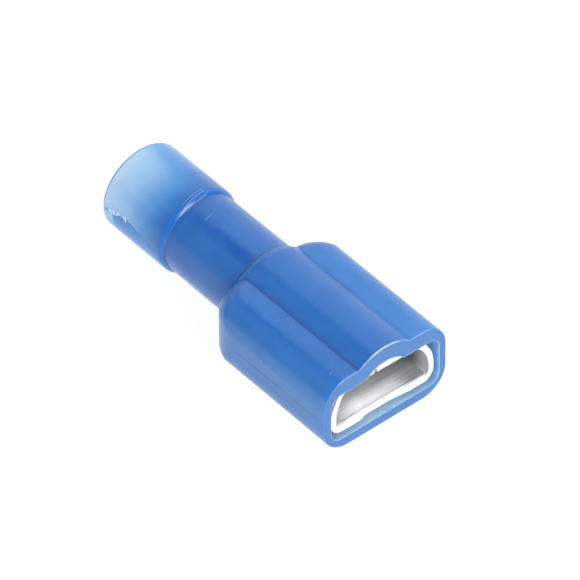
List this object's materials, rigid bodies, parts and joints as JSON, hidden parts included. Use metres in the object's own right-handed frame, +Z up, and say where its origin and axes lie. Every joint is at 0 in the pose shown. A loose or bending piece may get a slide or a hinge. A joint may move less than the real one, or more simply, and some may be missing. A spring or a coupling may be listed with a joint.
{
  "type": "female spade terminal",
  "caption": "Fully insulated female push-on spade terminal: flat nylon housing with a ridged top, rolled metal tab receptacle inside and a crimp barrel with a wire funnel behind.",
  "frame": {"origin": "centre of the part's overall length and width, on the plane that it rests on", "axes": "+X along the part towards the tab mouth, +Y across its width, +Z up through the ridge"},
  "size_m": [0.0218, 0.009, 0.0058],
  "materials": {
    "nylon": "semi-gloss translucent moulded nylon",
    "tinned_brass": "bright tin plate over brass"
  },
  "bodies": {
    "root": {"insulator": "nylon", "terminal": "tinned_brass"}
  },
  "joints": []
}
